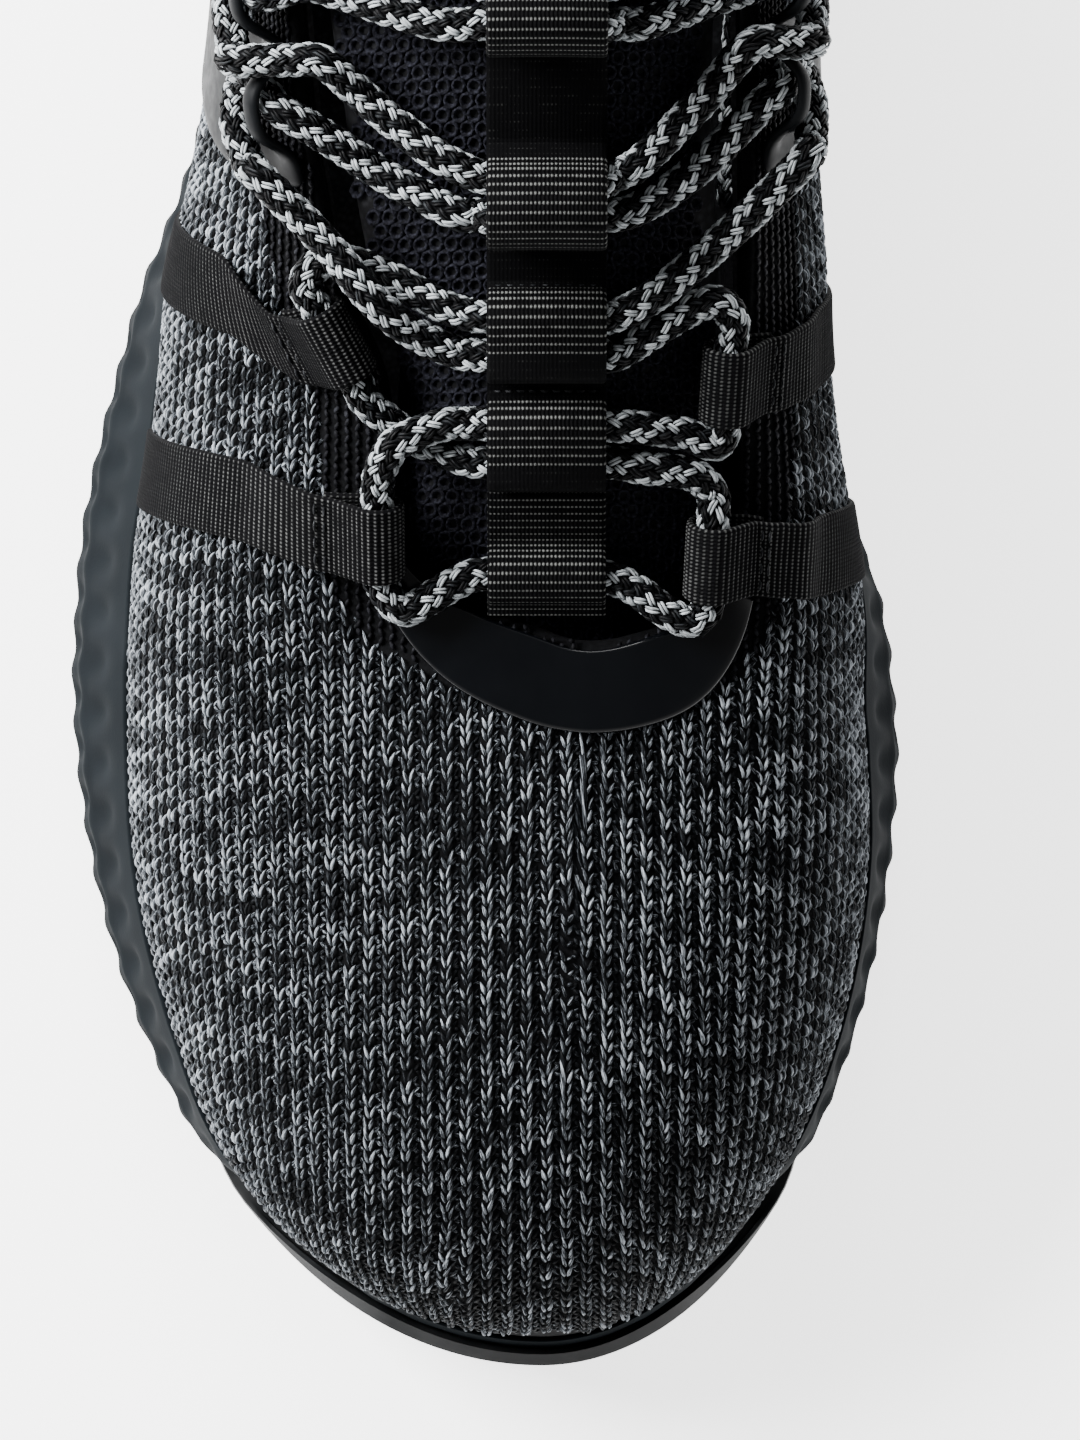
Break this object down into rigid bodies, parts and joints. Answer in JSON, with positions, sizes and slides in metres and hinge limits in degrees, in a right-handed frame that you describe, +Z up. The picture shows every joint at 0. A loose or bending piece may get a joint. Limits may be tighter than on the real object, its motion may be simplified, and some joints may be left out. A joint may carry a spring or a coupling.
{
  "type": "running shoe",
  "caption": "Low-cut knitted running shoe for the right foot, with a foam midsole, moulded lace cages and round laces, laced up and empty.",
  "frame": {"origin": "on the ground, under the middle of the shoe's bounding box", "axes": "+Z up, the toe points to -Y, the inner (medial) side of the foot is at +X"},
  "size_m": [0.1158, 0.3, 0.1345],
  "materials": {
    "knit": "heathered dark grey knit",
    "foam": "satin moulded foam",
    "rubber": "matte rubber",
    "gloss_plastic": "glossy moulded black",
    "cage_plastic": "smooth grey moulded",
    "spacer_mesh": "open black spacer mesh",
    "webbing": "black ribbed webbing",
    "lace": "round braided cord, black with grey flecks",
    "strobel_board": "stiff non-woven board",
    "stiffener": "thermoformed sheet",
    "tape": "woven tape",
    "lining": "brushed knit",
    "soft_foam": "open-cell foam",
    "aglet": "satin plastic tip"
  },
  "bodies": {
    "shoe": {"upper_knit": "knit", "throat_crescent": "gloss_plastic", "lace_cage_lateral": "cage_plastic", "lace_cage_medial": "cage_plastic", "heel_clip": "gloss_plastic", "midsole": "foam", "outsole_forefoot": "rubber", "outsole_heel": "rubber", "midfoot_shank": "gloss_plastic", "strobel_board": "strobel_board", "sockliner": "lining", "toe_puff": "stiffener", "heel_counter": "stiffener", "eyestay_tape_lateral": "tape", "eyestay_tape_medial": "tape", "collar_padding": "soft_foam", "heel_lining": "lining", "tongue": "spacer_mesh", "centre_webbing": "webbing", "bottom_lace_tab": "webbing", "lace_loop_lateral_front": "webbing", "lace_loop_lateral_rear": "webbing", "lace_loop_medial_front": "webbing", "lace_loop_medial_rear": "webbing", "lace": "lace", "aglet_lateral": "aglet", "aglet_medial": "aglet"},
    "tongue_end": {"tongue_top": "spacer_mesh", "tongue_pull_tab": "webbing"},
    "heel_loop": {"heel_pull_loop": "webbing"}
  },
  "joints": [
    {"name": "tongue_end_lift", "type": "hinge", "parent": "shoe", "child": "tongue_end", "pos_m": [0.0085, 0.056, 0.1165], "axis": [1, 0, 0], "range_deg": [0, 40]},
    {"name": "heel_loop_swing", "type": "hinge", "parent": "shoe", "child": "heel_loop", "pos_m": [0.0064, 0.14634, 0.08586], "axis": [-1, 0, 0], "range_deg": [0, 60], "stiffness_Nm_per_rad": 0.002}
  ]
}
